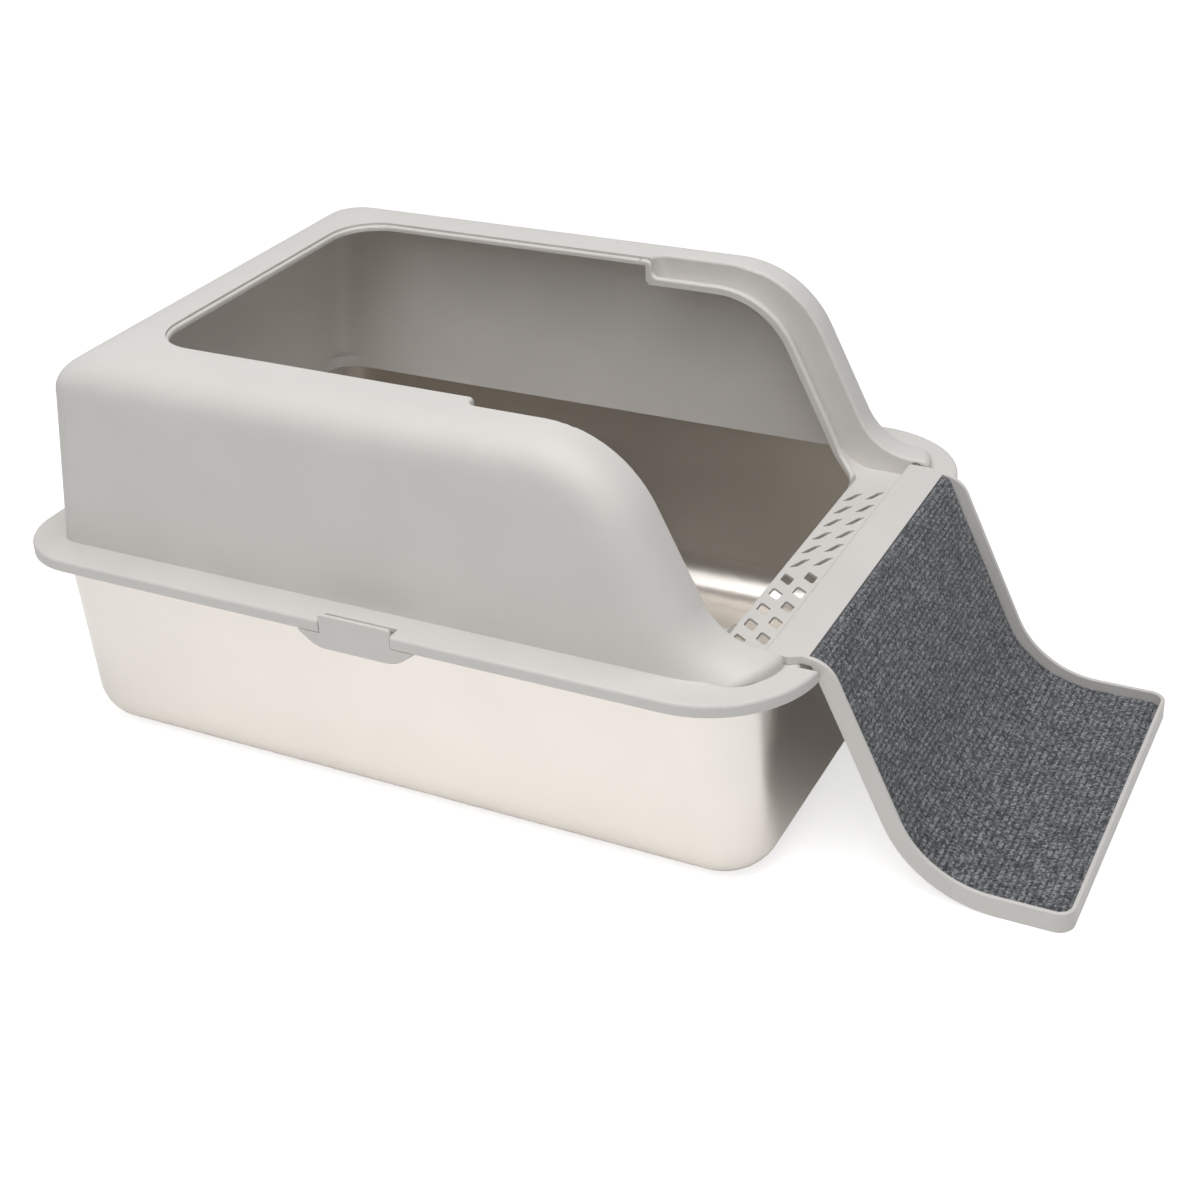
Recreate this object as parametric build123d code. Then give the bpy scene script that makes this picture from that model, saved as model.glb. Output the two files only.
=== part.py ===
"""Litter tray: pressed steel pan, clip-on hood with a scooped entry, folding ramp and carpet mat.

Millimetres, +Z up. X runs from the closed rear end to the ramp, the floor is z = 0 and the
origin is the middle of the pan's flat base.
"""
import os
from math import cos, radians, sin, tan

from build123d import *

os.makedirs("parts", exist_ok=True)

# Steel pan
PAN_STEEL = 0.7            # sheet thickness
PAN_LENGTH = 563.0         # outside, at the top of the walls
PAN_WIDTH = 397.0
PAN_HEIGHT = 157.2
PAN_END_TAPER = 2.0        # how far an end wall leans in down to the floor
PAN_SIDE_TAPER = 10.0
PAN_BASE_CORNER = 40.0
PAN_TOP_CORNER = 45.0
PAN_FLOOR_RADIUS = 32.0
PAN_RIM_WIDTH = 4.6        # rolled rim, beyond the wall
PAN_RIM_HEIGHT = 5.2
PAN_RIM_ROUND = 2.0

# Hood flange, resting on the pan's rim
FLANGE_REAR_REACH = 20.5   # beyond the pan's walls
FLANGE_FRONT_REACH = 21.5
FLANGE_SIDE_REACH = 17.0
FLANGE_REAR_CORNER = 53.0
FLANGE_FRONT_CORNER = 78.0
FLANGE_SHEET = 3.0
FLANGE_SKIRT = 9.0         # height of the turned-down edge
FLANGE_SKIRT_WALL = 2.6
FLANGE_ROUND = 2.5
FLANGE_RIM_GAP = 1.0       # between the pan's rim and the flange's edge under the ramp

# Hood walls and crowned top
SHELL = 3.0
WALL_REAR_INSET = 8.1      # rear wall at the flange, inside the pan's end wall
WALL_FRONT_INSET = 0.5     # front end of the two feet
WALL_SIDE_INSET = 9.5
WALL_LEAN = 17.0           # how far the rear wall leans in below the crown
WALL_REAR_CORNER = 17.0
WALL_FRONT_CORNER = 42.0
WALL_FRONT_FLARE = 1.0     # outline of the feet's front ends, outside the side walls
HOOD_RISE = 145.3          # top of the hood above the flange
CROWN_HEIGHT = 30.0
CROWN_REAR = 53.0          # run of the crown over the rear wall
CROWN_SIDE = 34.0          # run of the crown over the side walls
CROWN_CORNER = 26.0
CROWN_TURNS = (0, 9, 20, 32, 44, 56, 67, 78, 86, 90)
FOOT_ROUND = 6.0
FOOT_SOLID_LENGTH = 23.0   # the feet are solid over their front ends
SKIRT_DROP = 7.0           # inner skirt below the flange, inside the pan
SKIRT_CORNER = 28.0

# Top opening, its bead and the stepped channel beside the entry
REAR_BAND = 70.4           # from the rear wall at the flange to the opening
RIDGE_BAND = 41.5          # from a side wall to the inner face of its ridge
CHANNEL_WIDTH = 11.5       # from that face to the opening
OPENING_REAR_CORNER = 35.0
OPENING_FRONT_CORNER = 28.0
BEAD_WIDTH = 5.0
BEAD_PROUD = 4.0
BEAD_ROUND = 1.9
BEAD_STEP_ROUND = 5.0      # bends where the bead steps down off the rear lip
LIP_SHEET = 4.0            # height of the turned lip round the rear opening
LIP_STEP = 2.0             # lip set in and down from the edge of the crown
STEP_BACK = 58.5           # step behind the start of the entry curve
STEP_CORNER = 8.0
RIDGE_ROUND = 2.5

# Entry curve of the ridges and of the bead, both seen from the side
SCOOP_ANGLE = 63.6
RIDGE_ARC = 85.0
RIDGE_FOOT_RISE = 9.3      # above the flange
RIDGE_FOOT_ARC = 45.0
RIDGE_FOOT_LEVEL = 14.3    # level end of the foot
BEAD_DROP = 15.2           # below the top of the hood
BEAD_ARC = 70.0
BEAD_FOOT_DROP = 0.5       # below the top of the flange
BEAD_FOOT_ARC = 28.0
BEAD_FOOT_REACH = 7.2      # end of the foot bend in front of the opening
SILL_INSET = 3.0           # front end of the perforated sill, inside the pan's end wall
SILL_DEPTH = 47.5          # from there back to the opening
SILL_SHEET = 2.0           # sill and channel floor

# Perforated sill: two staggered rows, slits on the far half and rhombi on the near half
HOLE_ROW = 8.0             # first row in front of the opening
HOLE_ROW_PITCH = 14.2
HOLE_STAGGER = 8.2
HOLE_END_MARGIN = 49.9     # from the far ridge to the middle of the first slit
HOLE_PITCH = 21.8
HOLE_MIDDLE_GAP = 3.0      # extra space between the two halves
SLIT_COUNT = 6             # holes in a row
RHOMBUS_COUNT = 5
SLIT_SIDE = 15.2
SLIT_TIP = 6.0
SLIT_TURNS = (69, 37)      # headings of its sides
SLIT_ROUND = 0.4
RHOMBUS_SIDE = 10.4
RHOMBUS_TURNS = (89, -34)
RHOMBUS_ROUND = 1.2

# Ramp
RAMP_SIDE_GAP = 5.3        # between a rim and the ridge's inner face
RAMP_LENGTH = 181.2        # from the front edge of the ledge
RAMP_FRONT_CORNER = 12.0
RAMP_ANGLE = 65.0
RAMP_BEND = 8.0
RAMP_FOOT_ARC = 78.0
RAMP_TOE_PLATE = 5.0
RAMP_SHEET = 1.6           # plate under the mat, on the slope
RAMP_UNDER_BEND = 3.0      # underside of the ramp
RAMP_UNDER_FOOT_ARC = 88.0
RAMP_RIM_WALL = 3.2
RAMP_RIM_BEND = 22.0
RAMP_RIM_HEIGHT = 15.0
RAMP_RIM_FOOT_ARC = 70.0
RAMP_RIM_ROUND = 1.0
RAMP_GAP = 0.6             # between the ramp and the edge of the flange
RAMP_NOTCH_GAP = 2.5       # between the ramp's sides and the notch in the flange
LEDGE_SHEET = 5.3          # its rear edge fully rounded
LEDGE_LIFT = 0.3           # above the flange
LEDGE_OVERHANG = 4.5       # front edge beyond the edge of the flange
LEDGE_SIDE_GAP = 1.2       # between its wide rear part and the ridges
LEDGE_WIDE = 17.0          # length of the wide rear part
LEDGE_TAPER = 8.0
LEDGE_TAIL = 6.0           # behind the pivot
PIVOT_INSET = 10.5         # pivot inside the pan's end wall
PIN_RADIUS = 1.9
PIN_REACH = 4.0
PIN_CLEARANCE = 0.08
PIN_END_GAP = 1.0
PIVOT_RECESS = 4.2         # round recess about each pin hole
PIVOT_RECESS_DEPTH = 2.0

# Mat
MAT_THICKNESS = 3.0
MAT_GAP = 0.4

# Side latches: a neck in a notch of the flange and a wide pull below it
LATCH_RISE = 4.8           # above the flange
LATCH_NECK = 56.0
LATCH_WIDTH = 94.0         # between the points of the pull, before rounding
LATCH_PULL = 12.6          # height of the part below the flange
LATCH_LOW_WIDTH = 62.0
LATCH_TOP_ROUND = 2.5
LATCH_SIDE_ROUND = 0.8
LATCH_LOW_ROUND = 22.0
LATCH_PLATE = 2.6
LATCH_EDGE = 0.6           # rounding of the plate's outer edges
LATCH_GAP = 0.4
LATCH_SWING_GAP = 0.6      # between the pull and the flange's lower edge
LATCH_NOTCH_DEPTH = 10.9
LATCH_BODY = 1.7           # radius of the bar round the pin
LATCH_PIN_RADIUS = 0.9
LATCH_PIN_REACH = 2.4
LATCH_PIN_IN = 2.1         # pin inside the flange's outer edge
LATCH_PIN_DROP = 2.0       # pin below the flange's top
LATCH_NUB = 3.4
LATCH_NUB_DROP = 3.4       # nub below the flange's lower edge
LATCH_NUB_LENGTH = 36.0


def entry_run(fall, r_top, r_foot, angle):
    """Length of an entry curve from the start of its top arc to the end of its foot arc."""
    turn = radians(angle)
    slope = fall - (r_top + r_foot) * (1 - cos(turn))
    return (r_top + r_foot) * sin(turn) + slope / tan(turn)


# Sizes that follow from the ones above
FLANGE_TOP = PAN_HEIGHT + FLANGE_SHEET
FLANGE_LOW = FLANGE_TOP - FLANGE_SKIRT
FLANGE_HALF = PAN_WIDTH / 2 + FLANGE_SIDE_REACH
SKIRT_LOW = PAN_HEIGHT - SKIRT_DROP
HOOD_TOP = FLANGE_TOP + HOOD_RISE
WALL_REAR = PAN_LENGTH / 2 - WALL_REAR_INSET
WALL_FRONT = PAN_LENGTH / 2 - WALL_FRONT_INSET
WALL_HALF = PAN_WIDTH / 2 - WALL_SIDE_INSET
FOOT_SOLID = WALL_FRONT - FOOT_SOLID_LENGTH
SILL_FRONT = PAN_LENGTH / 2 - SILL_INSET
OPENING_REAR = WALL_REAR - REAR_BAND
OPENING_FRONT = SILL_FRONT - SILL_DEPTH
RIDGE_HALF = WALL_HALF - RIDGE_BAND
OPENING_HALF = RIDGE_HALF - CHANNEL_WIDTH
RIDGE_FOOT = FLANGE_TOP + RIDGE_FOOT_RISE
RIDGE_ARC_X = WALL_FRONT - RIDGE_FOOT_LEVEL - entry_run(
    HOOD_TOP - RIDGE_FOOT, RIDGE_ARC, RIDGE_FOOT_ARC, SCOOP_ANGLE)
BEAD_TOP = HOOD_TOP - BEAD_DROP
BEAD_FOOT = FLANGE_TOP - BEAD_FOOT_DROP
BEAD_ARC_X = OPENING_FRONT + BEAD_FOOT_REACH - entry_run(
    BEAD_TOP - BEAD_FOOT, BEAD_ARC, BEAD_FOOT_ARC, SCOOP_ANGLE)
LIP_TOP = HOOD_TOP - LIP_STEP
STEP_X = RIDGE_ARC_X - STEP_BACK
CUT_X = (STEP_X + RIDGE_ARC_X) / 2
NOTCH_X = PAN_LENGTH / 2 + PAN_RIM_WIDTH + FLANGE_RIM_GAP + FLANGE_SKIRT_WALL
RAMP_HALF = RIDGE_HALF - RAMP_SIDE_GAP
NOTCH_HALF = RAMP_HALF + RAMP_NOTCH_GAP
RAMP_TOP = FLANGE_TOP + LEDGE_LIFT + LEDGE_SHEET
RAMP_BEND_X = NOTCH_X + LEDGE_OVERHANG
RAMP_FRONT = RAMP_BEND_X + RAMP_LENGTH
RAMP_MAT_FOOT = RAMP_TOE_PLATE + MAT_THICKNESS
PIVOT_X = PAN_LENGTH / 2 - PIVOT_INSET
PIVOT_Z = RAMP_TOP - LEDGE_SHEET / 2
LEDGE_HALF = RIDGE_HALF - LEDGE_SIDE_GAP
LATCH_NOTCH = LATCH_NECK + 2 * LATCH_GAP
FAR = 600.0                # longer than anything here, for cutting blocks


def plan(x_rear, x_front, half, r_rear, r_front):
    """Outline seen from above, rounded at its rear and front corners."""
    edges = [
        Line((x_rear + r_rear, -half), (x_front - r_front, -half)),
        CenterArc((x_front - r_front, r_front - half), r_front, -90, 90),
        Line((x_front, r_front - half), (x_front, half - r_front)),
        CenterArc((x_front - r_front, half - r_front), r_front, 0, 90),
        Line((x_front - r_front, half), (x_rear + r_rear, half)),
        CenterArc((x_rear + r_rear, half - r_rear), r_rear, 90, 90),
        Line((x_rear, half - r_rear), (x_rear, r_rear - half)),
        CenterArc((x_rear + r_rear, r_rear - half), r_rear, 180, 90),
    ]
    return make_face(edges)


def slab(face, z_low, z_high):
    """Face drawn on the floor, raised between two heights."""
    return Pos(0, 0, z_low) * extrude(face, z_high - z_low)


def block(x0, x1, y0, y1, z0, z1):
    """Plain box between two corners."""
    middle = Pos((x0 + x1) / 2, (y0 + y1) / 2, (z0 + z1) / 2)
    return middle * Box(x1 - x0, y1 - y0, z1 - z0)


def entry_curve(z_top, x_arc, r_top, z_foot, r_foot, angle, x_start, x_end, down=0.0):
    """Side view of a level, an arc, a slope, an arc and a level, moved down its own normal."""
    turn = radians(angle)
    top_x, top_z = x_arc, z_top - r_top
    foot_z = z_foot + r_foot
    slope_top_x = top_x + r_top * sin(turn)
    fall = top_z + r_top * cos(turn) - foot_z + r_foot * cos(turn)
    foot_x = slope_top_x + fall * cos(turn) / sin(turn) + r_foot * sin(turn)
    r1, r2 = r_top - down, r_foot + down

    def on_top(part):
        return (top_x + r1 * sin(turn * part), 0, top_z + r1 * cos(turn * part))

    def on_foot(part):
        return (foot_x - r2 * sin(turn * part), 0, foot_z - r2 * cos(turn * part))

    edges = [Line((x_start, 0, z_top - down), on_top(0))]
    if r1 > 0.01:
        edges.append(ThreePointArc(on_top(0), on_top(0.5), on_top(1)))
    edges.append(Line(on_top(1), on_foot(1)))
    edges.append(ThreePointArc(on_foot(1), on_foot(0.5), on_foot(0)))
    edges.append(Line(on_foot(0), (x_end, 0, z_foot - down)))
    return edges


def ridge_curve(x_start, x_end, down=0.0):
    """Side view of the ridge beside the entry."""
    return entry_curve(HOOD_TOP, RIDGE_ARC_X, RIDGE_ARC, RIDGE_FOOT, RIDGE_FOOT_ARC,
                       SCOOP_ANGLE, x_start, x_end, down)


def bead_curve(x_start, x_end, down=0.0):
    """Side view of the bead beside the entry."""
    return entry_curve(BEAD_TOP, BEAD_ARC_X, BEAD_ARC, BEAD_FOOT, BEAD_FOOT_ARC,
                       SCOOP_ANGLE, x_start, x_end, down)


def mat_curve(x_start, x_end, down=0.0):
    """Side view of the top of the mat on the ramp."""
    return entry_curve(RAMP_TOP, RAMP_BEND_X, RAMP_BEND, RAMP_MAT_FOOT, RAMP_FOOT_ARC,
                       RAMP_ANGLE, x_start, x_end, down)


def rim_curve(x_start, x_end):
    """Side view of the top of the ramp's rims."""
    return entry_curve(RAMP_TOP, RAMP_BEND_X, RAMP_RIM_BEND, RAMP_RIM_HEIGHT, RAMP_RIM_FOOT_ARC,
                       RAMP_ANGLE, x_start, x_end)


def under_curve(x_start, x_end):
    """Side view of the ramp's underside, parallel to the slope of the mat."""
    turn = radians(RAMP_ANGLE)
    rise = LEDGE_SHEET + RAMP_UNDER_BEND - RAMP_BEND
    depth = RAMP_BEND - MAT_THICKNESS - RAMP_SHEET - RAMP_UNDER_BEND
    x_arc = RAMP_BEND_X + (rise * cos(turn) + depth) / sin(turn)
    return entry_curve(RAMP_TOP - LEDGE_SHEET, x_arc, RAMP_UNDER_BEND, 0, RAMP_UNDER_FOOT_ARC,
                       RAMP_ANGLE, x_start, x_end)


def between(upper, lower, half):
    """Solid between two side-view curves, as wide as twice half."""
    ends = [Line(upper[0] @ 0, lower[0] @ 0), Line(upper[-1] @ 1, lower[-1] @ 1)]
    face = make_face(upper + lower + ends)
    return extrude(face, half, dir=(0, 1, 0), both=True)


def below(upper, z_low, half):
    """Solid under a side-view curve down to a height."""
    start, end = upper[0] @ 0, upper[-1] @ 1
    low_start = (start.X, 0, z_low)
    low_end = (end.X, 0, z_low)
    sides = [Line(start, low_start), Line(low_start, low_end), Line(low_end, end)]
    return extrude(make_face(upper + sides), half, dir=(0, 1, 0), both=True)


def tub(inset):
    """Solid bounded by the pan's skin, moved in by inset."""
    end, half = PAN_LENGTH / 2 - inset, PAN_WIDTH / 2 - inset
    low = plan(PAN_END_TAPER - end, end - PAN_END_TAPER, half - PAN_SIDE_TAPER,
               PAN_BASE_CORNER - inset, PAN_BASE_CORNER - inset)
    high = plan(-end, end, half, PAN_TOP_CORNER - inset, PAN_TOP_CORNER - inset)
    body = loft([Pos(0, 0, inset) * low, Pos(0, 0, PAN_HEIGHT) * high], ruled=True)
    floor_edges = body.faces().sort_by(Axis.Z)[0].edges()
    return fillet(floor_edges, PAN_FLOOR_RADIUS - inset)


def steel_pan():
    """Pressed pan with a rolled rim."""
    reach = PAN_LENGTH / 2 + PAN_RIM_WIDTH
    rim = slab(plan(-reach, reach, PAN_WIDTH / 2 + PAN_RIM_WIDTH, PAN_TOP_CORNER + PAN_RIM_WIDTH,
                    PAN_TOP_CORNER + PAN_RIM_WIDTH), PAN_HEIGHT - PAN_RIM_HEIGHT, PAN_HEIGHT)
    rim = fillet(rim.edges().filter_by(GeomType.LINE).filter_by(Axis.Z, reverse=True)
                 + rim.edges().filter_by(GeomType.CIRCLE), PAN_RIM_ROUND)
    return tub(0) + rim - tub(PAN_STEEL)


def crown(inset):
    """Rear part of the hood as a solid, its walls and crowned top moved in by inset.

    The crown's section is a rounded corner somewhat squarer than an ellipse.
    """
    z_base = SKIRT_LOW if inset else PAN_HEIGHT
    z_crown = HOOD_TOP - CROWN_HEIGHT - inset
    front = RIDGE_ARC_X + CROWN_SIDE
    corner = WALL_REAR_CORNER - inset

    def section(z, rear, half, r_rear):
        return Pos(0, 0, z) * plan(-rear, front, half, r_rear, SHELL)

    half = WALL_HALF - inset
    walls = loft([section(z_base, WALL_REAR - inset, half, corner),
                  section(z_crown, WALL_REAR - WALL_LEAN - inset, half, corner)], ruled=True)
    rings = []
    for turn in CROWN_TURNS:
        run = 1 - max(0, cos(radians(turn))) ** 0.8
        rise = sin(radians(turn)) ** 0.8
        rings.append(section(z_crown + CROWN_HEIGHT * rise,
                             WALL_REAR - WALL_LEAN - inset - CROWN_REAR * run,
                             half - CROWN_SIDE * run,
                             corner + (CROWN_CORNER - corner) * run))
    return walls + loft(rings)


def hood(inset):
    """Hood as a solid with its skin moved in by inset, the entry curve included."""
    rear = crown(inset) & block(-FAR, CUT_X, -FAR, FAR, 0, FAR)
    depth = CROWN_HEIGHT * 2
    end_face = rear.faces().sort_by(Axis.X)[-1]
    top_block = block(CUT_X - 1, CUT_X + 1, -FAR, FAR, HOOD_TOP - depth, FAR)
    end_top = (end_face & top_block).faces()[0]
    x_end = WALL_FRONT + 2 * WALL_FRONT_CORNER
    blanket = sweep(end_top, path=Wire(ridge_curve(CUT_X, x_end, inset)))
    fill = below(ridge_curve(CUT_X, x_end, CROWN_HEIGHT * 1.3 + inset), -FAR, WALL_HALF - inset)
    z_base = SKIRT_LOW if inset else PAN_HEIGHT
    front = (blanket + fill) & block(CUT_X, FAR, -FAR, FAR, z_base, FAR)
    return rear + front


def border(faces):
    """Edges that belong to only one of a group of faces."""
    edges = [edge for face in faces for edge in face.edges()]
    return [edge for edge in edges
            if sum((edge @ 0.5 - other @ 0.5).length < 0.01 for other in edges) == 1]


def rounded_feet():
    """Hood as a solid, its two front ends cut to the plan and rounded over."""
    outline = plan(-FAR, WALL_FRONT, WALL_HALF + WALL_FRONT_FLARE, 1, WALL_FRONT_CORNER + WALL_FRONT_FLARE)
    solid = hood(0) & slab(outline, 0, FAR)
    ends = [face for face in solid.faces() if face.bounding_box().min.X > WALL_FRONT - WALL_FRONT_CORNER
            and face.bounding_box().max.Z < RIDGE_FOOT + 1 and abs(face.normal_at().Z) < 0.01]
    edges = [edge for edge in border(ends) if edge.bounding_box().max.Z > PAN_HEIGHT + 1]
    return fillet(edges, FOOT_ROUND)


def solid_hood():
    """Hood as a solid, cut by the opening and by the entry, with the ridges' inner edges rounded."""
    lip = slab(plan(-OPENING_REAR - LIP_STEP, STEP_X, OPENING_HALF + LIP_STEP,
                    OPENING_REAR_CORNER + LIP_STEP, 1), PAN_HEIGHT, FAR)
    entry = slab(plan(STEP_X, FAR, RIDGE_HALF, STEP_CORNER, 1), PAN_HEIGHT, FAR)
    solid = rounded_feet() - lip - entry
    edges = []
    for edge in solid.edges():
        low, high = edge.bounding_box().min, edge.bounding_box().max
        along = max(abs(abs(y) - RIDGE_HALF) for y in (low.Y, high.Y)) < 0.01
        corner = low.X > STEP_X - 0.01 and high.X < STEP_X + STEP_CORNER + 0.01
        at_top = low.Z > HOOD_TOP - 0.01 and edge.length > STEP_CORNER
        if along and low.Z > PAN_HEIGHT + 1 or corner and at_top:
            edges.append(edge)
    return fillet(edges, RIDGE_ROUND)


def opening(grow=0.0):
    """Block through the whole top opening, its outline moved out by grow."""
    return slab(plan(-OPENING_REAR - grow, OPENING_FRONT + grow, OPENING_HALF + grow,
                     OPENING_REAR_CORNER + grow, OPENING_FRONT_CORNER + grow), 0, FAR)


def ridge_walls():
    """Inner faces of the two ridges and the curved step at their rear ends."""
    outer = slab(plan(STEP_X - SHELL, FAR, RIDGE_HALF + SHELL, STEP_CORNER + SHELL, 1), 0, FAR)
    inner = slab(plan(STEP_X, FAR, RIDGE_HALF, STEP_CORNER, 1), 0, FAR)
    x0, x1 = STEP_X - SHELL, WALL_FRONT - SHELL
    low = bead_curve(x0, x1, BEAD_PROUD + SILL_SHEET)
    band = between(ridge_curve(x0, x1), low, RIDGE_HALF + SHELL)
    return (band & outer) - inner - opening()


def hood_skin():
    """Thin walls, crown, ridges and solid feet of the hood."""
    solid = solid_hood()
    skin = solid - (hood(SHELL) & block(-FAR, FOOT_SOLID, -FAR, FAR, 0, FAR))
    return skin + (ridge_walls() & (solid + block(-FAR, FAR, -FAR, FAR, 0, PAN_HEIGHT)))


def bead_step(down):
    """Side view of the bead from the rear lip, down the step and along the entry."""
    if down:
        x = STEP_X - BEAD_WIDTH
        corners = [(x - BEAD_WIDTH, 0, LIP_TOP - down), (x, 0, LIP_TOP - down), (x, 0, BEAD_TOP - down)]
        edges = [Line(corners[0], corners[1]), Line(corners[1], corners[2])]
        return edges + bead_curve(x, OPENING_FRONT + BEAD_WIDTH, down)
    r, x = BEAD_STEP_ROUND, STEP_X
    bend = r * sin(radians(45))
    points = [(x - 2 * BEAD_WIDTH, 0, LIP_TOP), (x - r, 0, LIP_TOP), (x - r + bend, 0, LIP_TOP - r + bend),
              (x, 0, LIP_TOP - r), (x, 0, BEAD_TOP + r), (x + r - bend, 0, BEAD_TOP + r - bend),
              (x + r, 0, BEAD_TOP)]
    edges = [Line(points[0], points[1]), ThreePointArc(points[1], points[2], points[3]),
             Line(points[3], points[4]), ThreePointArc(points[4], points[5], points[6])]
    return edges + bead_curve(x + r, OPENING_FRONT + BEAD_WIDTH)


def bead():
    """Rounded bead along both sides of the entry, stepping up to the rear lip."""
    body = between(bead_step(0), bead_step(BEAD_PROUD), OPENING_HALF + BEAD_WIDTH)
    body &= opening(BEAD_WIDTH)
    body -= block(OPENING_FRONT, FAR, -FAR, FAR, 0, FAR) + opening()
    tops = [face for face in body.faces() if face.normal_at().Z > 0.2
            or face.normal_at().X > 0.9 and face.center().Z > BEAD_TOP]
    return fillet(border(tops), BEAD_ROUND)


def rear_lip():
    """Turned lip round the rear of the opening, its inner edge rounded."""
    lip = opening(BEAD_WIDTH) & block(-FAR, STEP_X - 2 * BEAD_WIDTH, -FAR, FAR, LIP_TOP - LIP_SHEET, LIP_TOP)
    lip -= opening()
    edges = [edge for edge in lip.faces().sort_by(Axis.Z)[-1].edges()
             if opening().distance_to(Vertex(edge @ 0.5)) < 0.01]
    return fillet(edges, BEAD_ROUND)


def channel():
    """Channel floor beside the entry and the perforated sill."""
    x0, x1 = STEP_X - SHELL, SILL_FRONT
    floor_low = bead_curve(x0, x1, BEAD_PROUD + SILL_SHEET)
    floor = between(bead_curve(x0, x1, BEAD_PROUD), floor_low, RIDGE_HALF + SHELL)
    return floor - opening()


def parallelogram(sides, turns, radius):
    """Four-sided hole by the lengths and headings of its sides, with rounded corners."""
    halves = [(length / 2 * cos(radians(turn)), length / 2 * sin(radians(turn)))
              for length, turn in zip(sides, turns)]
    (ax, ay), (bx, by) = halves
    corners = ((ax + bx, ay + by), (ax - bx, ay - by), (-ax - bx, -ay - by), (bx - ax, by - ay))
    face = make_face(Polyline(*corners, close=True))
    return fillet(face.vertices(), radius)


def sill_holes():
    """Cutters for the holes in the sill."""
    slit = parallelogram((SLIT_SIDE, SLIT_TIP), SLIT_TURNS, SLIT_ROUND)
    rhombus = parallelogram((RHOMBUS_SIDE, RHOMBUS_SIDE), RHOMBUS_TURNS, RHOMBUS_ROUND)
    cutters = []
    for row in (0, 1):
        x = OPENING_FRONT + HOLE_ROW + row * HOLE_ROW_PITCH
        y_end = RIDGE_HALF - HOLE_END_MARGIN + row * HOLE_STAGGER
        for place in range(SLIT_COUNT + RHOMBUS_COUNT):
            y = y_end - place * HOLE_PITCH
            shape = slit
            if place >= SLIT_COUNT:
                y -= HOLE_MIDDLE_GAP
                shape = rhombus
            cutters.append(slab(Pos(x, y) * shape, SKIRT_LOW, FLANGE_TOP))
    return cutters


def flange():
    """Flange with its turned-down edge, set back across the front for the ramp."""
    def outline(inset):
        rear = PAN_LENGTH / 2 + FLANGE_REAR_REACH - inset
        front = PAN_LENGTH / 2 + FLANGE_FRONT_REACH - inset
        face = plan(-rear, front, FLANGE_HALF - inset, FLANGE_REAR_CORNER - inset,
                    FLANGE_FRONT_CORNER - inset)
        notch = Rectangle(FAR, 2 * (NOTCH_HALF + inset), align=(Align.MIN, Align.CENTER))
        return face - Pos(NOTCH_X - inset, 0) * notch

    body = slab(outline(0), FLANGE_LOW, FLANGE_TOP)
    body = fillet(body.faces().sort_by(Axis.Z)[-1].edges(), FLANGE_ROUND)
    return body - slab(outline(FLANGE_SKIRT_WALL), FLANGE_LOW - 1, PAN_HEIGHT)


def inner_skirt():
    """Wall that carries on below the flange, inside the pan."""
    outer = plan(-WALL_REAR, SILL_FRONT, WALL_HALF, SKIRT_CORNER, SKIRT_CORNER)
    return slab(outer, SKIRT_LOW, FLANGE_TOP)


def on_side(shape, side):
    """Shape drawn on the far side, or its mirror image on the near side."""
    return shape if side > 0 else mirror(shape, about=Plane.XZ)


def latch_line(length, radius):
    """Round bar along the far latch's pin line."""
    axis = Pos(0, FLANGE_HALF - LATCH_PIN_IN, FLANGE_TOP - LATCH_PIN_DROP)
    return axis * Rot(0, 90, 0) * Cylinder(radius, length)


def enclosure():
    """The hood in one moulding."""
    inside = slab(plan(SHELL - WALL_REAR, SILL_FRONT - SHELL, WALL_HALF - SHELL,
                       SKIRT_CORNER - SHELL, SKIRT_CORNER - SHELL), 0, FLANGE_TOP)
    body = flange() + inner_skirt() - inside
    body += hood_skin()
    body += channel() + bead() + rear_lip()
    body -= sill_holes()
    notch = block(-LATCH_NOTCH / 2, LATCH_NOTCH / 2, FLANGE_HALF - LATCH_NOTCH_DEPTH, FAR, 0, HOOD_TOP)
    notch += latch_line(LATCH_NOTCH + 2 * LATCH_PIN_REACH, LATCH_PIN_RADIUS + PIN_CLEARANCE)
    for side in (-1, 1):
        body -= on_side(notch, side)
    at_pivot = Pos(PIVOT_X, 0, PIVOT_Z) * Rot(90, 0, 0)
    body -= at_pivot * Cylinder(PIN_RADIUS + PIN_CLEARANCE, 2 * (LEDGE_HALF + PIN_REACH + PIN_END_GAP))
    body -= at_pivot * Cylinder(PIVOT_RECESS, 2 * (RIDGE_HALF + PIVOT_RECESS_DEPTH)) & block(
        0, FAR, -FAR, FAR, FLANGE_TOP, FAR)
    return body


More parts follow.
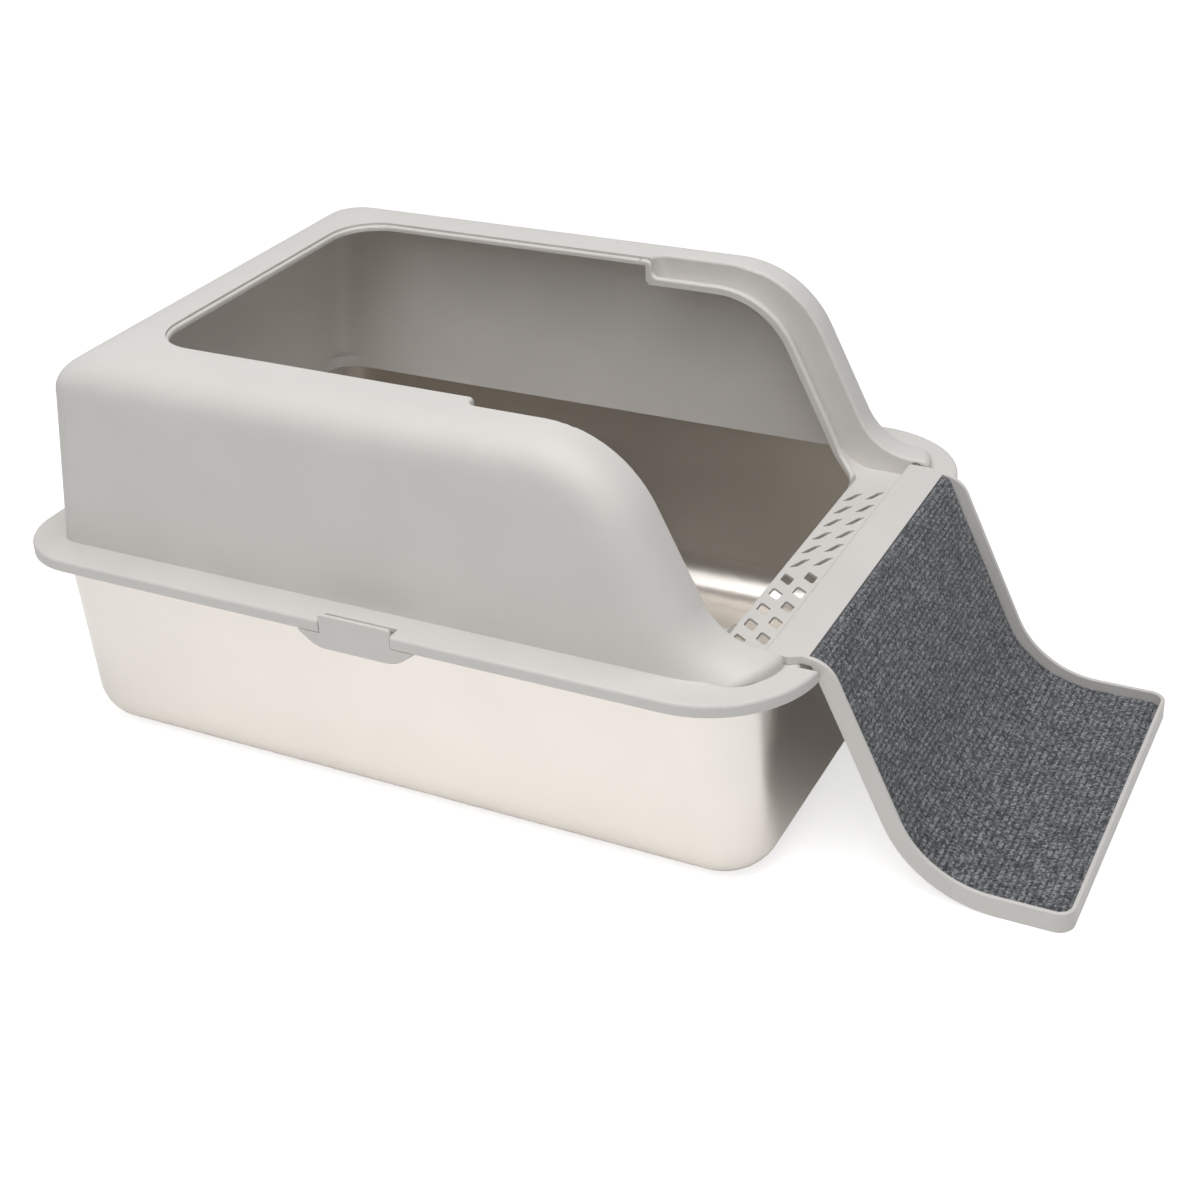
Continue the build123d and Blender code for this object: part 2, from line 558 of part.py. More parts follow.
def side_latch(side):
    """Rocking latch: a neck flush in the flange's notch, a wide pull below it and two pins."""
    half_neck, half_wide, half_low = LATCH_NECK / 2, LATCH_WIDTH / 2, LATCH_LOW_WIDTH / 2
    top, wide, low = FLANGE_TOP + LATCH_RISE, FLANGE_LOW - LATCH_SWING_GAP, FLANGE_LOW - LATCH_PULL
    corners = [(half_neck, top), (half_neck, wide), (half_wide, wide), (half_low, low)]
    corners += [(-x, z) for x, z in reversed(corners)]
    front = make_face(Polyline(*corners, close=True))
    for (x, z), radius in ((corners[0], LATCH_TOP_ROUND), (corners[2], LATCH_SIDE_ROUND),
                           (corners[3], LATCH_LOW_ROUND)):
        ends = [point for point in front.vertices() if abs(abs(point.X) - x) + abs(point.Y - z) < 0.01]
        front = fillet(ends, radius)
    plate = Pos(0, FLANGE_HALF, 0) * Rot(90, 0, 0) * extrude(front, LATCH_PLATE)
    plate = fillet(plate.faces().sort_by(Axis.Y)[-1].edges(), LATCH_EDGE)
    inside = block(-FAR, FAR, 0, FLANGE_HALF - LATCH_EDGE, 0, FAR)
    plate += latch_line(LATCH_NECK, LATCH_BODY) & inside
    plate += latch_line(LATCH_NOTCH - LATCH_GAP + 2 * LATCH_PIN_REACH, LATCH_PIN_RADIUS)
    nub = Pos(0, FLANGE_HALF - LATCH_PLATE, FLANGE_LOW - LATCH_NUB_DROP)
    plate += nub * Rot(0, 90, 0) * Cylinder(LATCH_NUB / 2, LATCH_NUB_LENGTH) & inside
    return on_side(plate, side)


def ledge():
    """Top edge of the ramp, wider between the feet, with its pivot pins."""
    rear = PIVOT_X - LEDGE_TAIL + LEDGE_SHEET / 2
    wide_end = PIVOT_X - LEDGE_TAIL + LEDGE_WIDE
    corners = [(rear, LEDGE_HALF), (wide_end, LEDGE_HALF), (wide_end + LEDGE_TAPER, RAMP_HALF),
               (RAMP_BEND_X, RAMP_HALF)]
    corners += [(x, -y) for x, y in reversed(corners)]
    body = slab(make_face(Polyline(*corners, close=True)), RAMP_TOP - LEDGE_SHEET, RAMP_TOP)
    edge = Pos(rear, 0, PIVOT_Z) * Rot(90, 0, 0) * Cylinder(LEDGE_SHEET / 2, 2 * LEDGE_HALF)
    body += edge & block(0, rear, -FAR, FAR, 0, FAR)
    pins = Pos(PIVOT_X, 0, PIVOT_Z) * Rot(90, 0, 0) * Cylinder(PIN_RADIUS, 2 * (LEDGE_HALF + PIN_REACH))
    return body + pins


def ramp():
    """Folding ramp: ledge with its pivot, sloping plate and raised rims."""
    x0 = NOTCH_X + RAMP_GAP
    outer = slab(plan(-FAR, RAMP_FRONT, RAMP_HALF, 1, RAMP_FRONT_CORNER), -1, FAR)
    inner = slab(plan(-FAR, RAMP_FRONT - RAMP_RIM_WALL, RAMP_HALF - RAMP_RIM_WALL, 1,
                      RAMP_FRONT_CORNER - RAMP_RIM_WALL), -1, FAR)
    under = under_curve(x0, RAMP_FRONT)
    plate = between(mat_curve(x0, RAMP_FRONT, MAT_THICKNESS), under, RAMP_HALF)
    rims = (between(rim_curve(x0, RAMP_FRONT), under, RAMP_HALF) & outer) - inner
    rims = fillet(border([face for face in rims.faces() if face.normal_at().Z > 0.2]), RAMP_RIM_ROUND)
    return ((plate + rims) & outer) + ledge()


def ramp_mat():
    """Carpet mat lying in the ramp between its rims."""
    half = RAMP_HALF - RAMP_RIM_WALL - MAT_GAP
    front = RAMP_FRONT - RAMP_RIM_WALL - MAT_GAP
    corner = RAMP_FRONT_CORNER - RAMP_RIM_WALL - MAT_GAP
    area = slab(plan(RAMP_BEND_X + MAT_GAP, front, half, 1, corner), -1, FAR)
    band = between(mat_curve(NOTCH_X, RAMP_FRONT), mat_curve(NOTCH_X, RAMP_FRONT, MAT_THICKNESS), half)
    return band & area


if __name__ == "__main__":
    export_step(steel_pan(), "parts/steel_pan.step")
    export_step(enclosure(), "parts/enclosure.step")
    export_step(side_latch(-1), "parts/side_latch_near.step")
    export_step(side_latch(1), "parts/side_latch_far.step")
    export_step(ramp(), "parts/ramp.step")
    export_step(ramp_mat(), "parts/ramp_mat.step")
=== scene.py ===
"""Looks of the litter tray: steel and plastic finishes, a modelled carpet mat and a plain stage.

Metres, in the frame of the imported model: +X towards the ramp, +Z up, the floor at z = 0.
"""
from itertools import product
from math import asin, cos, radians, sin

import bpy
import numpy as np
from bpy.props import FloatProperty, FloatVectorProperty, PointerProperty
from mathutils import Matrix, Vector


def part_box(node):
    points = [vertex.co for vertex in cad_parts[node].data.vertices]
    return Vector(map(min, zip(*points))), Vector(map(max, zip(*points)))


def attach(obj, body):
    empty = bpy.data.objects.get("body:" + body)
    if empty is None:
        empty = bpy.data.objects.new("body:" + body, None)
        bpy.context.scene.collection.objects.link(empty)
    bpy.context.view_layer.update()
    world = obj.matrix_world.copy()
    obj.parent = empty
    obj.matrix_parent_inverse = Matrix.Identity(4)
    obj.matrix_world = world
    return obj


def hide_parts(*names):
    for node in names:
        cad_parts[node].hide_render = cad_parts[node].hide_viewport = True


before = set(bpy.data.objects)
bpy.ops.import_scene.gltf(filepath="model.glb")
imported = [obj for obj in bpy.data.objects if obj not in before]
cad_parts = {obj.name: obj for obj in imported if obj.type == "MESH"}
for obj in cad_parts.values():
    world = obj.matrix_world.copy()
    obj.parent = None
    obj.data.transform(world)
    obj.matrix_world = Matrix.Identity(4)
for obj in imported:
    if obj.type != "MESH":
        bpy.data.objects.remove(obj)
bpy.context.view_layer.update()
MAT_LOW, MAT_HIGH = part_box("ramp_mat")

bl_info = {
    "name": "Litter tray looks",
    "version": (1, 0, 0),
    "blender": (4, 5, 0),
    "location": "3D View > Sidebar > Tray",
    "description": "Finishes the litter tray's parts, models its carpet mat and sets the stage",
    "category": "Object",
}

MM = 0.001
STEEL_NODES = ("steel_pan",)
PLASTIC_NODES = ("enclosure", "side_latch_near", "side_latch_far", "ramp")

# Most of a noise texture's values lie between these
NOISE_LOW, NOISE_HIGH = 0.3, 0.7
# Darkest and lightest shade of a plain surface, as shares of its colour
SHADES = (0.97, 1.02)
# Place of the mat's middle yarn between its dark and its light one
MIDDLE_YARN = 0.45

# Loops of the mat: a rib is two high rows of them and one low row
SEED = 7
ROWS_PER_RIB = 3
LOW_ROW = 0.22
# Shares of the spacing by which a loop strays along and across the ramp, and which it covers
STRAY = (0.3, 0.45)
REACH = 0.75
# Above 1, more loops are dark than light
SHADE_POWER = 1.2
# Spare rows and columns of loops past the mat's edges
MARGIN = 3
# Share of the thickness that the very edge has lost
EDGE_LOSS = 0.35

# Floor: half its side, how far it lies under the pan, and the colour of its paint as lit and as mirrored
FLOOR_HALF = 8.0
FLOOR_DROP = 0.5 * MM
PAINT, MIRRORED_PAINT = 0.85, 1.46
# The floor's glow grows between these distances from the tray
GLOW_FROM, GLOW_TO = 0.8, 3.0
GLOW_NEAR, GLOW_FAR = 0.65, 0.9

# The lamps point here, at about half the tray's height
LAMP_AIM = (0, 0, 0.15)
SENSOR_MM = 36.0
CLIP_START = 0.01


def linear(text):
    """sRGB hex colour as three linear values."""
    shares = [int(text[i:i + 2], 16) / 255 for i in (1, 3, 5)]
    return [s / 12.92 if s <= 0.04045 else ((s + 0.055) / 1.055) ** 2.4 for s in shares]


def colour_setting(name, description, text):
    """Colour property with a hex default."""
    return FloatVectorProperty(name=name, description=description, subtype="COLOR", size=3,
                               min=0, max=1, default=linear(text))


def length_setting(name, description, default):
    """Length property in metres."""
    return FloatProperty(name=name, description=description, default=default, min=0,
                         subtype="DISTANCE", unit="LENGTH", precision=5)


def point_setting(name, description, default):
    """Point property in metres."""
    return FloatVectorProperty(name=name, description=description, size=3, subtype="XYZ",
                               unit="LENGTH", default=default)


def angle_setting(name, description, degrees):
    """Angle property with a default in degrees."""
    return FloatProperty(name=name, description=description, subtype="ANGLE", default=radians(degrees))


def power_setting(name, description, default):
    """Lamp power property in watts."""
    return FloatProperty(name=name, description=description, default=default, min=0, unit="POWER")


class TrayColours(bpy.types.PropertyGroup):
    """Colours of the tray's materials."""

    plastic: colour_setting("Plastic", "Warm light grey of the hood, latches and ramp", "#DEDBD7")
    steel: colour_setting("Steel", "Reflection of the satin stainless pan", "#D3CEC8")
    pile_dark: colour_setting("Pile, dark", "Darkest yarn of the mat", "#3C3F43")
    pile_mid: colour_setting("Pile, middle", "Most of the mat's yarn", "#6A6D71")
    pile_light: colour_setting("Pile, light", "Light flecks in the mat's yarn", "#9C9FA2")


class TrayMat(bpy.types.PropertyGroup):
    """Sizes of the carpet mat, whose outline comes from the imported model."""

    thickness: length_setting("Thickness", "Mat with its pile", 3.0 * MM)
    bend: length_setting("Bend", "Radius where the mat turns down off the ledge", 8.0 * MM)
    foot: length_setting("Foot bend", "Radius where the mat turns level on the floor", 78.0 * MM)
    gap: length_setting("Gap", "Upper edge of the mat in front of the ramp's ledge", 0.4 * MM)
    corner: length_setting("Corner", "Radius of the two front corners in plan", 8.4 * MM)
    slope: angle_setting("Slope", "Steepest angle of the mat", 65)
    rib: length_setting("Rib", "Spacing of the ribs, which run across the ramp", 4.6 * MM)
    tuft: length_setting("Tuft", "Spacing of the loops along a rib", 1.5 * MM)
    loop: length_setting("Loop height", "How far a loop stands out of the pile", 0.7 * MM)
    edge: length_setting("Edge", "Width of the worn-down edge", 1.6 * MM)
    step: length_setting("Step", "Spacing of the mesh over the pile", 0.65 * MM)


class TrayStage(bpy.types.PropertyGroup):
    """View and light."""

    azimuth: angle_setting("Azimuth", "Camera turned about the tray", 27.4)
    elevation: angle_setting("Elevation", "Camera above the horizon", 30.0)
    roll: angle_setting("Roll", "Camera turned about its own axis", -2.5)
    distance: length_setting("Distance", "Camera to its target", 1.322)
    target: point_setting("Target", "Point that the camera looks at", (0.1275, -0.1023, 0.150))
    lens: FloatProperty(name="Lens", description="Focal length on a 36 mm sensor", default=57.74,
                        unit="CAMERA")
    overhead: power_setting("Overhead lamp", "Power of the lamp above the ramp side", 29.5)
    overhead_place: point_setting("Overhead place", "Centre of the overhead lamp", (0.3, -0.3, 2.3))
    overhead_size: length_setting("Overhead size", "Side of the overhead lamp", 2.0)
    near_side: power_setting("Near lamp", "Power of the lamp above the near side", 11.0)
    near_side_place: point_setting("Near place", "Centre of the near lamp", (0.1, -1.3, 1.7))
    near_side_size: length_setting("Near size", "Side of the near lamp", 1.5)
    fill: FloatProperty(name="Fill", description="Even light from all round", default=0.19, min=0)


def add_node(tree, kind, links=None, values=None, **settings):
    """Adds a node: settings are its own, values fill its sockets and links join them to other outputs."""
    node = tree.nodes.new(kind)
    for key, value in settings.items():
        setattr(node, key, value)
    for key, value in (values or {}).items():
        node.inputs[key].default_value = value
    for key, output in (links or {}).items():
        tree.links.new(output, node.inputs[key])
    return node


def new_material(name):
    """Empty node material and its tree."""
    material = bpy.data.materials.new(name)
    material.use_nodes = True
    material.node_tree.nodes.clear()
    return material, material.node_tree


def show(tree, shader):
    """Joins a shader's first output to the surface."""
    add_node(tree, "ShaderNodeOutputMaterial", {"Surface": shader.outputs[0]})


def rgba(values):
    """Opaque colour of three values."""
    return (*values, 1.0)


def cells_per_metre(size_mm):
    """Scale of a pattern whose features are that large."""
    return 1 / (size_mm * MM)


def shades_of(tree, noise, base):
    """Colour output that a noise moves between two shades of one colour."""
    ramp = add_node(tree, "ShaderNodeValToRGB", {"Fac": noise})
    for element, position, share in zip(ramp.color_ramp.elements, (NOISE_LOW, NOISE_HIGH), SHADES):
        element.color = rgba([min(1.0, value * share) for value in base])
        element.position = position
    return ramp.outputs["Color"]


def moulded_plastic(colours):
    """Injection-moulded polypropylene with a fine spark-eroded mould texture.

    Soft broad highlights, a barely uneven gloss from the flow of the melt, and a grain that only
    shows as a slight break-up of the highlights. The real grain of about 0.2 mm is drawn at 0.7 mm.
    """
    material, tree = new_material("moulded_polypropylene_satin_grey")
    place = add_node(tree, "ShaderNodeTexCoord").outputs["Object"]
    flow = add_node(tree, "ShaderNodeTexNoise", {"Vector": place},
                    {"Scale": cells_per_metre(60), "Detail": 3.0, "Roughness": 0.5})
    base = shades_of(tree, flow.outputs["Fac"], colours.plastic)
    gloss = add_node(tree, "ShaderNodeMapRange", {"Value": flow.outputs["Fac"]},
                     {"To Min": 0.42, "To Max": 0.52})
    grain = add_node(tree, "ShaderNodeTexNoise", {"Vector": place},
                     {"Scale": cells_per_metre(0.7), "Detail": 2.0, "Roughness": 0.6})
    edge = add_node(tree, "ShaderNodeBevel", values={"Radius": 0.5 * MM}, samples=4)
    bump = add_node(tree, "ShaderNodeBump", {"Height": grain.outputs["Fac"], "Normal": edge.outputs[0]},
                    {"Strength": 0.05, "Distance": 0.1 * MM})
    shader = add_node(tree, "ShaderNodeBsdfPrincipled",
                      {"Base Color": base, "Roughness": gloss.outputs["Result"], "Normal": bump.outputs[0]},
                      {"IOR": 1.49})
    show(tree, shader)
    return material


def satin_steel(colours):
    """Deep-drawn stainless steel with a satin finish.

    Mirrors its surroundings softly. The drawing leaves broad, faint changes in gloss and tone; the
    finish's own lines are too fine to show.
    """
    material, tree = new_material("drawn_stainless_steel_satin")
    place = add_node(tree, "ShaderNodeTexCoord").outputs["Object"]
    cloud = add_node(tree, "ShaderNodeTexNoise", {"Vector": place},
                     {"Scale": cells_per_metre(90), "Detail": 2.0})
    gloss = add_node(tree, "ShaderNodeMapRange", {"Value": cloud.outputs["Fac"]},
                     {"From Min": NOISE_LOW, "From Max": NOISE_HIGH, "To Min": 0.28, "To Max": 0.34})
    base = shades_of(tree, cloud.outputs["Fac"], colours.steel)
    shader = add_node(tree, "ShaderNodeBsdfPrincipled",
                      {"Base Color": base, "Roughness": gloss.outputs["Result"]}, {"Metallic": 1.0})
    show(tree, shader)
    return material


def loop_pile(colours, tuft):
    """Needle-punched carpet of mixed charcoal yarn.

    Matt and flecked with lighter fibres. Its colour is painted darker between the loops as shade, and a
    little lighter on their tops as a highlight. Each loop has its own shade, and patches of about 14 mm
    are lighter. The real fibres of about 0.05 mm are drawn at 0.9 mm.
    """
    material, tree = new_material("carpet_loop_pile_charcoal")
    place = add_node(tree, "ShaderNodeTexCoord").outputs["Object"]
    shade = add_node(tree, "ShaderNodeAttribute", attribute_name="loop_shade")
    rise = add_node(tree, "ShaderNodeAttribute", attribute_name="loop_rise")
    fibre = add_node(tree, "ShaderNodeTexNoise", {"Vector": place},
                     {"Scale": cells_per_metre(0.9), "Detail": 3.0, "Roughness": 0.7})
    patch = add_node(tree, "ShaderNodeTexNoise", {"Vector": place},
                     {"Scale": cells_per_metre(14), "Detail": 3.0, "Roughness": 0.6})
    yarn = add_node(tree, "ShaderNodeMath", {0: fibre.outputs["Fac"], 1: shade.outputs["Fac"]},
                    operation="ADD").outputs[0]
    patched = add_node(tree, "ShaderNodeMath", {0: patch.outputs["Fac"], 1: yarn, 2: yarn},
                       operation="MULTIPLY_ADD")
    share = add_node(tree, "ShaderNodeMapRange", {"Value": patched.outputs[0]},
                     {"From Min": 0.75, "From Max": 2.2})
    ramp = add_node(tree, "ShaderNodeValToRGB", {"Fac": share.outputs["Result"]})
    ramp.color_ramp.elements[0].color = rgba(colours.pile_dark)
    ramp.color_ramp.elements[1].color = rgba(colours.pile_light)
    middle = ramp.color_ramp.elements.new(MIDDLE_YARN)
    middle.color = rgba(colours.pile_mid)
    # Painted shade and highlight: the yarn colour is multiplied down to 0.35 in the grooves between loops
    # and up to 1.15 on their tops
    groove_shade = add_node(tree, "ShaderNodeMapRange", {"Value": rise.outputs["Fac"]},
                     {"To Min": 0.35, "To Max": 1.15})
    base = add_node(tree, "ShaderNodeVectorMath", {0: ramp.outputs["Color"], 1: groove_shade.outputs["Result"]},
                    operation="MULTIPLY")
    # Fibres stand out by a sixth of a tuft's width
    bump = add_node(tree, "ShaderNodeBump", {"Height": fibre.outputs["Fac"]},
                    {"Strength": 0.5, "Distance": tuft / 6})
    shader = add_node(tree, "ShaderNodeBsdfPrincipled",
                      {"Base Color": base.outputs[0], "Normal": bump.outputs[0]},
                      {"Roughness": 0.95, "IOR": 1.45, "Sheen Weight": 0.15, "Sheen Roughness": 0.6})
    show(tree, shader)
    return material


def finish_nodes(names, material):
    """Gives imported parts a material."""
    for name in names:
        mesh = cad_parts[name].data
        mesh.materials.clear()
        mesh.materials.append(material)


def mat_line(sizes):
    """Top of the mat seen from the side, as a function of the length along it, and its whole length.

    It turns down off the ledge, runs down the slope, turns level in the foot bend and ends level.
    """
    turn, r_bend, r_foot = sizes.slope, sizes.bend, sizes.foot
    foot_z = MAT_LOW.z + sizes.thickness
    bend_x = MAT_LOW.x - sizes.gap
    first = asin((MAT_LOW.x - bend_x) / r_bend)
    bend_z = MAT_HIGH.z - r_bend
    slope_x = bend_x + r_bend * sin(turn)
    slope_z = bend_z + r_bend * cos(turn)
    arc_z = foot_z + r_foot
    drop = slope_z - (arc_z - r_foot * cos(turn))
    run = drop / sin(turn)
    foot_x = slope_x + drop * cos(turn) / sin(turn) + r_foot * sin(turn)
    ends = np.cumsum([r_bend * (turn - first), run, r_foot * turn, MAT_HIGH.x - foot_x])

    def at(s):
        """x, z and the upward normal's two parts at the lengths s."""
        stretches = [s < ends[0], s < ends[1]]
        angle = np.select(stretches, [first + s / r_bend, turn],
                          np.clip(turn - (s - ends[1]) / r_foot, 0, turn))
        x = np.select(stretches, [bend_x + r_bend * np.sin(angle), slope_x + (s - ends[0]) * cos(turn)],
                      foot_x - r_foot * np.sin(angle) + np.maximum(s - ends[2], 0))
        z = np.select(stretches, [bend_z + r_bend * np.cos(angle), slope_z - (s - ends[0]) * sin(turn)],
                      arc_z - r_foot * np.cos(angle))
        return x, z, np.sin(angle), np.cos(angle)

    return at, float(ends[-1])


def loops(s, y, sizes, rng):
    """Shade and rise of the carpet's loops at points of the flat mat, s along the ramp and y across it.

    Loops stand in rows across the ramp, every other row half a loop aside and each loop a little out
    of place. A point belongs to the nearest one.
    """
    pitch = sizes.tuft
    row_pitch = sizes.rib / ROWS_PER_RIB
    row = np.round(s / row_pitch).astype(int)
    column = np.round(y / pitch).astype(int)
    shift = MARGIN - column.min()
    count = (row.max() + MARGIN + 1, column.max() + shift + MARGIN + 1)
    strays = rng.uniform(-1, 1, (*count, 2)) * STRAY
    shades = rng.uniform(0, 1, count) ** SHADE_POWER
    nearest = np.full(s.shape, np.inf)
    shade = np.zeros(s.shape)
    height = np.zeros(s.shape)
    for near_row, near_column in product((-1, 0, 1), repeat=2):
        r = row + near_row
        c = column + near_column
        stray = strays[r + 1, c + shift]
        loop_s = (r + stray[..., 0]) * row_pitch
        loop_y = (c + 0.5 * (r % 2) + stray[..., 1]) * pitch
        away = np.hypot((s - loop_s) / row_pitch, (y - loop_y) / pitch) / REACH
        closer = away < nearest
        nearest = np.where(closer, away, nearest)
        shade = np.where(closer, shades[r + 1, c + shift], shade)
        height = np.where(closer, np.where(r % ROWS_PER_RIB == 0, LOW_ROW, 1.0), height)
    return shade, height * np.sqrt(np.clip(1 - nearest ** 2, 0, 1))


def mat_faces(rows, columns):
    """Faces of the mat: the grid of its top, then its two long edges, its underside and its two ends.

    The underside has only a left and a right row of points, which follow those of the top.
    """
    top = np.arange(rows * columns).reshape(rows, columns)
    left = rows * columns + np.arange(rows)
    right = left + rows
    grid = np.stack([top[:-1, :-1], top[1:, :-1], top[1:, 1:], top[:-1, 1:]], 2)
    strips = [np.stack([a[:-1], a[1:], b[1:], b[:-1]], 1)
              for a, b in ((left, top[:, 0]), (top[:, -1], right), (right, left))]
    upper_end = np.r_[left[0], top[0], right[0]]
    lower_end = np.r_[right[-1], top[-1, ::-1], left[-1]]
    return [*grid.reshape(-1, 4).tolist(), *np.stack(strips, 1).reshape(-1, 4).tolist(),
            upper_end.tolist(), lower_end.tolist()]


def mat_mesh(sizes):
    """Closed mesh of the mat, with a looped top, upright edges and a plain underside, and its length."""
    at, whole = mat_line(sizes)
    half = (MAT_HIGH.y - MAT_LOW.y) / 2
    rows = int(whole / sizes.step)
    columns = int(2 * half / sizes.step)
    s = np.linspace(0, whole, rows)
    past = np.clip(s - (whole - sizes.corner), 0, sizes.corner)
    half_at = half - (sizes.corner - np.sqrt(sizes.corner ** 2 - past ** 2))
    y = half_at[:, None] * np.linspace(-1, 1, columns)
    s_grid = np.repeat(s[:, None], columns, 1)
    shade, rise = loops(s_grid, y, sizes, np.random.RandomState(SEED))
    inside = np.minimum(np.minimum(s_grid, whole - s_grid), half_at[:, None] - np.abs(y))
    worn = np.clip(1 - inside / sizes.edge, 0, 1) ** 2
    x, z, nx, nz = at(s)
    out = (rise - 1) * sizes.loop - worn * sizes.thickness * EDGE_LOSS
    top = np.stack([x[:, None] + nx[:, None] * out, y, z[:, None] + nz[:, None] * out], 2)
    under = [np.stack([x - nx * sizes.thickness, side * half_at, z - nz * sizes.thickness], 1)
             for side in (-1, 1)]
    points = np.concatenate([top.reshape(-1, 3), *under])
    mesh = bpy.data.meshes.new("ramp_carpet_mat")
    mesh.from_pydata(points.tolist(), [], mat_faces(rows, columns))
    for name, values in (("loop_shade", shade), ("loop_rise", rise)):
        filled = np.zeros(len(points), np.float32)
        filled[:values.size] = values.ravel()
        mesh.attributes.new(name, "FLOAT", "POINT").data.foreach_set("value", filled)
    mesh.polygons.foreach_set("use_smooth", [True] * len(mesh.polygons))
    mesh.update()
    return mesh, whole


def seen(tree, path):
    """Output that is 1 for rays straight from the camera or through clear matter, else 0."""
    return add_node(tree, "ShaderNodeMath", {0: path.outputs["Is Camera Ray"],
                                             1: path.outputs["Is Transmission Ray"]},
                    operation="MAXIMUM").outputs[0]


def lay_floor(scene):
    """White matt floor that keeps a soft shadow.

    To the eye it glows up to white, more so far from the lamps. Steel mirrors its paint, brightened
    in place of the glow, so that the mirror keeps the shadow too.
    """
    mesh = bpy.data.meshes.new("studio_floor")
    corners = [(x * FLOOR_HALF, y * FLOOR_HALF, 0) for x, y in ((-1, -1), (1, -1), (1, 1), (-1, 1))]
    mesh.from_pydata(corners, [], [(0, 1, 2, 3)])
    floor = bpy.data.objects.new("studio_floor", mesh)
    floor.location.z = -FLOOR_DROP
    scene.collection.objects.link(floor)
    material, tree = new_material("matt_paint_white_floor")
    path = add_node(tree, "ShaderNodeLightPath")
    place = add_node(tree, "ShaderNodeTexCoord").outputs["Object"]
    away = add_node(tree, "ShaderNodeVectorMath", {0: place}, operation="LENGTH")
    level = add_node(tree, "ShaderNodeMapRange", {"Value": away.outputs["Value"]},
                     {"From Min": GLOW_FROM, "From Max": GLOW_TO, "To Min": GLOW_NEAR, "To Max": GLOW_FAR})
    glow = add_node(tree, "ShaderNodeMath", {0: seen(tree, path), 1: level.outputs["Result"]},
                    operation="MULTIPLY")
    tone = add_node(tree, "ShaderNodeMapRange", {"Value": path.outputs["Is Glossy Ray"]},
                    {"To Min": PAINT, "To Max": MIRRORED_PAINT})
    paint = add_node(tree, "ShaderNodeBsdfDiffuse", {"Color": tone.outputs["Result"]})
    white = add_node(tree, "ShaderNodeEmission", {"Strength": glow.outputs[0]})
    show(tree, add_node(tree, "ShaderNodeAddShader", {0: paint.outputs[0], 1: white.outputs[0]}))
    mesh.materials.append(material)


def light_world(scene, fill):
    """Even light from all round, white where it is seen or mirrored."""
    world = bpy.data.worlds.new("studio_white")
    world.use_nodes = True
    tree = world.node_tree
    path = add_node(tree, "ShaderNodeLightPath")
    shown = add_node(tree, "ShaderNodeMath", {0: seen(tree, path), 1: path.outputs["Is Glossy Ray"]},
                     operation="MAXIMUM")
    strength = add_node(tree, "ShaderNodeMapRange", {"Value": shown.outputs[0]},
                        {"To Min": fill, "To Max": 1.0})
    background = tree.nodes["Background"]
    background.inputs["Color"].default_value = (1, 1, 1, 1)
    tree.links.new(strength.outputs["Result"], background.inputs["Strength"])
    scene.world = world


def hang_lamp(scene, name, place, size, power):
    """Square soft lamp that shines on the tray."""
    lamp = bpy.data.lights.new(name, "AREA")
    lamp.energy = power
    lamp.shape = "SQUARE"
    lamp.size = size
    holder = bpy.data.objects.new(name, lamp)
    holder.location = place
    holder.rotation_euler = (Vector(LAMP_AIM) - Vector(place)).to_track_quat("-Z", "Y").to_euler()
    scene.collection.objects.link(holder)


def place_camera(scene, stage):
    """Camera at the photograph's viewing angle, for a square image."""
    camera = bpy.data.cameras.new("view")
    camera.sensor_width = SENSOR_MM
    camera.lens = stage.lens
    camera.clip_start = CLIP_START
    holder = bpy.data.objects.new("view", camera)
    az, el = stage.azimuth, stage.elevation
    back = Vector((sin(az) * cos(el), -cos(az) * cos(el), sin(el)))
    right = Vector((0, 0, 1)).cross(back).normalized()
    up = back.cross(right)
    side = right * cos(stage.roll) + up * sin(stage.roll)
    top = up * cos(stage.roll) - right * sin(stage.roll)
    turned = Matrix((side, top, back)).transposed().to_4x4()
    holder.matrix_world = Matrix.Translation(Vector(stage.target) + back * stage.distance) @ turned
    scene.collection.objects.link(holder)
    scene.camera = holder


class TRAY_OT_steel(bpy.types.Operator):
    """Finish the pan in satin stainless steel."""

    bl_idname = "tray.steel"
    bl_label = "Steel pan"

    def execute(self, context):
        finish_nodes(STEEL_NODES, satin_steel(context.scene.tray_colours))
        return {"FINISHED"}


class TRAY_OT_plastic(bpy.types.Operator):
    """Finish the hood, latches and ramp in moulded plastic."""

    bl_idname = "tray.plastic"
    bl_label = "Plastic parts"

    def execute(self, context):
        finish_nodes(PLASTIC_NODES, moulded_plastic(context.scene.tray_colours))
        return {"FINISHED"}


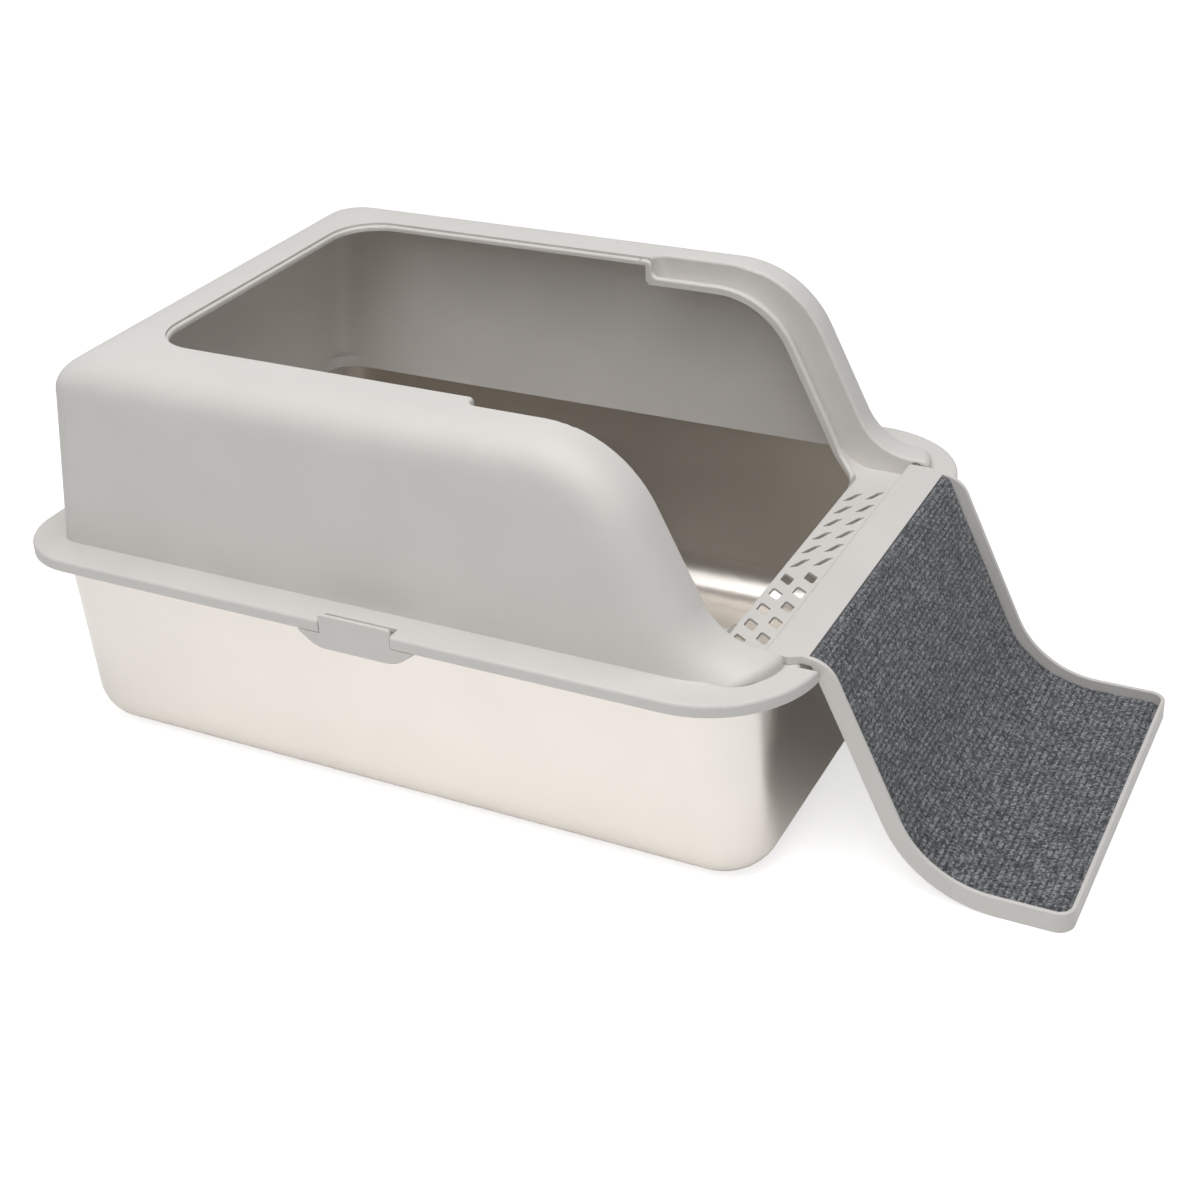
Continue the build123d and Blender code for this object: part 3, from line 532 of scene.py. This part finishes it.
class TRAY_OT_mat(bpy.types.Operator):
    """Model the carpet mat that lies on the ramp."""

    bl_idname = "tray.mat"
    bl_label = "Carpet mat"

    def execute(self, context):
        sizes = context.scene.tray_mat
        mesh, whole = mat_mesh(sizes)
        mesh.materials.append(loop_pile(context.scene.tray_colours, sizes.tuft))
        mat = bpy.data.objects.new("ramp_carpet_mat", mesh)
        context.scene.collection.objects.link(mat)
        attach(mat, "ramp")
        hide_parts("ramp_mat")
        return {"FINISHED"}


class TRAY_OT_stage(bpy.types.Operator):
    """Set the floor, the light and the camera."""

    bl_idname = "tray.stage"
    bl_label = "Stage"

    def execute(self, context):
        scene = context.scene
        stage = scene.tray_stage
        lay_floor(scene)
        light_world(scene, stage.fill)
        hang_lamp(scene, "overhead_softbox", stage.overhead_place, stage.overhead_size, stage.overhead)
        hang_lamp(scene, "near_side_softbox", stage.near_side_place, stage.near_side_size, stage.near_side)
        place_camera(scene, stage)
        scene.view_settings.view_transform = "Standard"
        return {"FINISHED"}


OPERATORS = (TRAY_OT_steel, TRAY_OT_plastic, TRAY_OT_mat, TRAY_OT_stage)
GROUPS = {"tray_colours": TrayColours, "tray_mat": TrayMat, "tray_stage": TrayStage}


class TRAY_PT_panel(bpy.types.Panel):
    """Lists the steps and the sizes and colours that they use."""

    bl_idname = "TRAY_PT_panel"
    bl_label = "Litter tray"
    bl_space_type = "VIEW_3D"
    bl_region_type = "UI"
    bl_category = "Tray"

    def draw(self, context):
        for operator in OPERATORS:
            self.layout.operator(operator.bl_idname)
        for name, group in GROUPS.items():
            box = self.layout.box()
            for key in group.__annotations__:
                box.prop(getattr(context.scene, name), key)


def register():
    """Registers the classes and hangs the settings on the scene."""
    for item in (*GROUPS.values(), *OPERATORS, TRAY_PT_panel):
        bpy.utils.register_class(item)
    for name, group in GROUPS.items():
        setattr(bpy.types.Scene, name, PointerProperty(type=group))


def unregister():
    """Takes the settings and the classes away again."""
    for name in GROUPS:
        delattr(bpy.types.Scene, name)
    for item in (TRAY_PT_panel, *reversed(OPERATORS), *reversed(list(GROUPS.values()))):
        bpy.utils.unregister_class(item)


def main():
    """Dresses the tray step by step."""
    register()
    bpy.ops.tray.steel()
    bpy.ops.tray.plastic()
    bpy.ops.tray.mat()
    bpy.ops.tray.stage()


if __name__ == "__main__":
    main()
